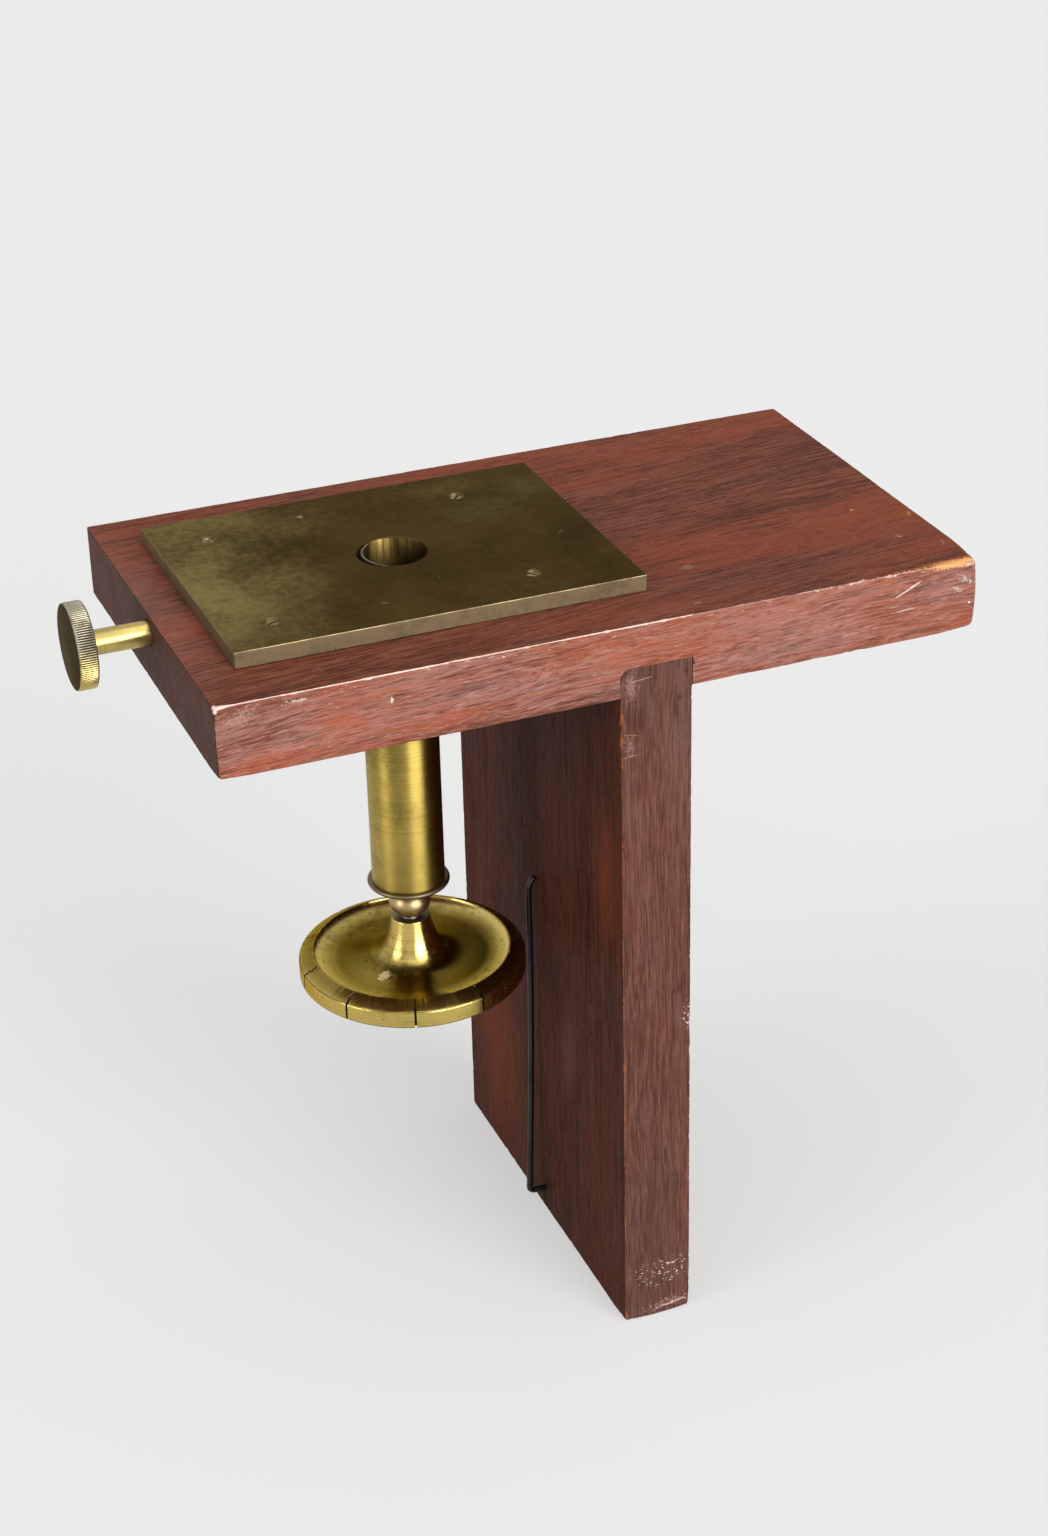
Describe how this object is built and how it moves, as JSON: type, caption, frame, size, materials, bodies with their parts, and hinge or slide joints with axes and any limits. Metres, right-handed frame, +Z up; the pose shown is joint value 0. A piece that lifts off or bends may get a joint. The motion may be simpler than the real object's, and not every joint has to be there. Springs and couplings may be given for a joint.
{
  "type": "table microtome",
  "caption": "Wooden T-shaped table microtome with a brass cutting plate, specimen tube, feed screw with notched index wheel, and side clamp screw.",
  "frame": {"origin": "axis of the specimen tube at the cutting face, the top of the brass plate", "axes": "+Z up along the specimen axis, out of the cutting face; +X along the top board, from the clamp screw towards the bare wing; +Y to the back"},
  "size_m": [0.2234, 0.1172, 0.2193],
  "materials": {
    "mahogany_board": "worn reddish mahogany, fine open grain",
    "mahogany_leg": "darker mahogany, vertical grain",
    "patinated_brass": "dark olive-brown mottled patina",
    "turned_brass": "satin turned brass with fine tool marks",
    "gunmetal": "polished pinkish gunmetal",
    "dark_steel": "blackened spring steel",
    "bright_steel": "turned steel"
  },
  "bodies": {
    "table": {"top_board": "mahogany_board", "leg": "mahogany_leg", "leg_screws": "bright_steel", "cutting_plate": "patinated_brass", "plate_screws": "patinated_brass", "tube": "turned_brass", "tube_cap": "gunmetal", "feed_nut": "gunmetal", "detent_wire": "dark_steel", "clamp_nut": "turned_brass"},
    "specimen_plug": {"plug": "turned_brass"},
    "feed_wheel": {"plug_screw": "bright_steel", "feed_screw": "bright_steel", "index_wheel": "turned_brass", "wheel_washer": "turned_brass", "wheel_nut": "bright_steel"},
    "jaw": {"clamp_jaw": "turned_brass", "jaw_pin": "bright_steel"},
    "clamp": {"clamp_screw": "turned_brass", "clamp_head": "turned_brass"}
  },
  "joints": [
    {"name": "specimen_feed", "type": "slide", "parent": "table", "child": "specimen_plug", "axis": [0, 0, 1], "range_m": [-0.06, 0.0008]},
    {"name": "wheel_turn", "type": "hinge", "parent": "specimen_plug", "child": "feed_wheel", "pos_m": [0, 0, -0.12], "axis": [0, 0, 1], "range_deg": [-34016, 454]},
    {"name": "clamp_feed", "type": "slide", "parent": "table", "child": "jaw", "axis": [1, 0, 0], "range_m": [-0.0011, 0.0075]},
    {"name": "clamp_turn", "type": "hinge", "parent": "jaw", "child": "clamp", "pos_m": [-0.0833, 0, -0.0099], "axis": [1, 0, 0], "range_deg": [-397, 2701]}
  ],
  "couplings": [
    {"joint": "wheel_turn", "follows": "specimen_feed", "rad_per_m": 9894.8},
    {"joint": "clamp_turn", "follows": "clamp_feed", "rad_per_m": 6283.2}
  ]
}
